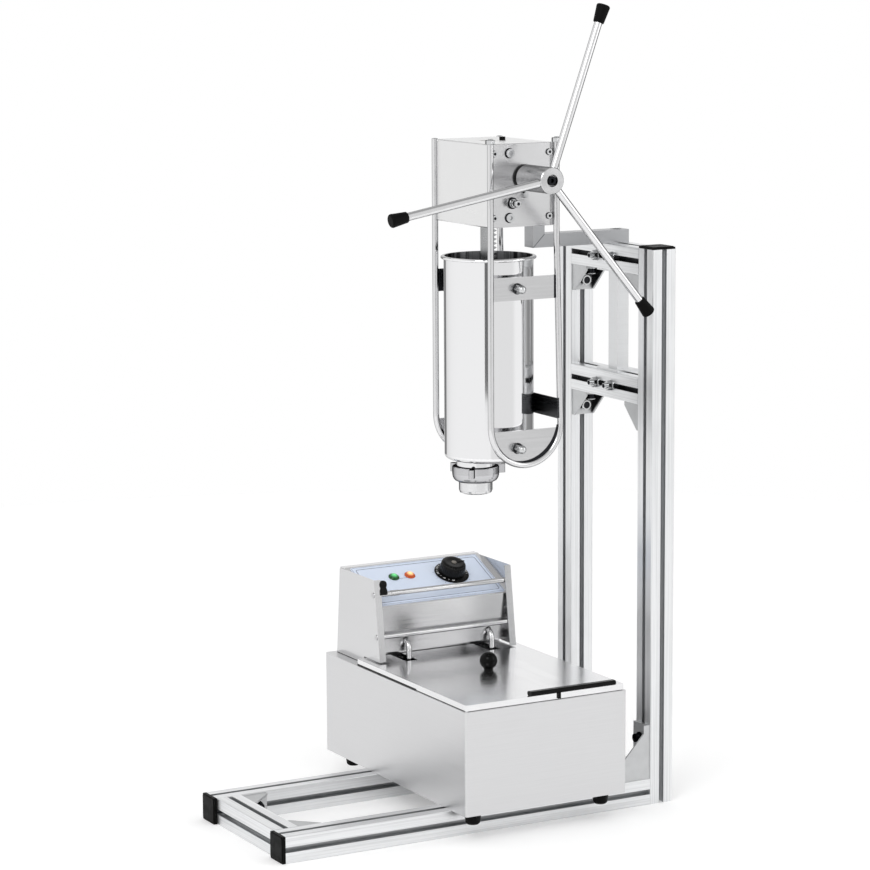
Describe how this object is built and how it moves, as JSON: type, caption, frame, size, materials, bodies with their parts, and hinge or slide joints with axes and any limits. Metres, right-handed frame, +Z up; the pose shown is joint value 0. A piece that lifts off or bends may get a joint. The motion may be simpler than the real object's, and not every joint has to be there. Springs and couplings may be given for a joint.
{
  "type": "churro maker",
  "caption": "Crank-driven rack and pinion dough press with a polished cylinder and star nozzle, on a slotted profile stand over a countertop fryer.",
  "frame": {"origin": "on the table, under the middle of the whole machine's box", "axes": "+Z up, +X from the free end of the base towards the posts, +Y away from the crank's side"},
  "size_m": [0.6704, 0.445, 1.2008],
  "materials": {
    "profile": "satin anodised extrusion",
    "bracket_casting": "die cast, bead blasted",
    "black_plastic": "moulded, fine grain",
    "black_screw": "black oxide",
    "bright_screw": "bright stainless fastener",
    "tube_steel": "ground stainless tube",
    "brushed_sheet": "brushed stainless sheet",
    "polished_steel": "polished stainless",
    "gear_steel": "machined steel",
    "nylon": "machined nylon",
    "black_rubber": "moulded rubber",
    "panel_film": "printed film, satin",
    "lamp_lens": "clear coloured lens",
    "seal_rubber": "silicone"
  },
  "bodies": {
    "machine": {"base_rail_front": "profile", "base_rail_rear": "profile", "base_cross_rails": "profile", "post_front": "profile", "post_rear": "profile", "cross_rail_top": "profile", "cross_rail_mid": "profile", "rail_end_caps": "black_plastic", "post_end_caps": "black_plastic", "corner_brackets": "bracket_casting", "post_gussets": "bracket_casting", "bracket_fasteners": "black_screw", "tube_bracket": "tube_steel", "strut": "tube_steel", "clamp_bolts": "bright_screw", "gearbox_shell": "brushed_sheet", "gearbox_front_plate": "brushed_sheet", "gearbox_rear_plate": "brushed_sheet", "gearbox_fasteners": "bright_screw", "guide_block_upper": "nylon", "guide_block_lower": "nylon", "shaft_bushings": "black_plastic", "plunger_collar": "black_plastic", "stop_pin": "bright_screw", "grease_plug": "black_plastic", "u_rod_front": "polished_steel", "u_rod_rear": "polished_steel", "rod_nuts": "bright_screw", "upper_side_plates": "brushed_sheet", "lower_side_plates": "brushed_sheet", "back_band": "tube_steel", "plate_fasteners": "bright_screw", "guide_pads": "black_plastic", "cylinder": "polished_steel", "union_gasket": "seal_rubber", "nozzle": "polished_steel", "fryer_body": "brushed_sheet", "fryer_tank": "brushed_sheet", "control_head": "brushed_sheet", "control_panel": "panel_film", "pilot_lamps": "lamp_lens", "head_rods": "polished_steel", "rod_bumper": "black_plastic", "heating_element": "polished_steel", "fryer_feet": "black_rubber", "cable_gland": "black_plastic"},
    "crank": {"pinion_shaft": "gear_steel", "hub": "polished_steel", "hub_screw": "black_screw", "handle_spokes": "polished_steel", "handle_knobs": "black_rubber"},
    "press_rack": {"rack": "gear_steel", "piston": "nylon", "piston_seal": "seal_rubber"},
    "plunger": {"plunger_pin": "bright_screw"},
    "union": {"union_nut": "polished_steel"},
    "lid": {"fryer_lid": "brushed_sheet", "lid_knob": "black_plastic", "lid_grip": "black_plastic"},
    "thermostat": {"thermostat_knob": "black_plastic"}
  },
  "joints": [
    {"name": "crank_turn", "type": "hinge", "parent": "machine", "child": "crank", "pos_m": [0.09955, -0.044, 0.9505], "axis": [0, 1, 0], "range_deg": [0, 1456.2]},
    {"name": "rack_slide", "type": "slide", "parent": "machine", "child": "press_rack", "axis": [0, 0, 1], "range_m": [0, 0.305]},
    {"name": "plunger_pull", "type": "slide", "parent": "machine", "child": "plunger", "axis": [0, -1, 0], "range_m": [0, 0.006], "stiffness_N_per_m": 600, "springref_m": -0.006},
    {"name": "union_turn", "type": "hinge", "parent": "machine", "child": "union", "pos_m": [0.05855, -0.044, 0.4965], "axis": [0, 0, -1], "range_deg": [0, 90]},
    {"name": "lid_slide", "type": "slide", "parent": "machine", "child": "lid", "axis": [0, -1, 0], "range_m": [0, 0.06]},
    {"name": "thermostat_turn", "type": "hinge", "parent": "machine", "child": "thermostat", "pos_m": [0.12205, 0.14543, 0.31573], "axis": [0, -0.407, 0.9134], "range_deg": [-270, 0]}
  ],
  "couplings": [
    {"joint": "rack_slide", "follows": "crank_turn", "m_per_rad": 0.012}
  ]
}
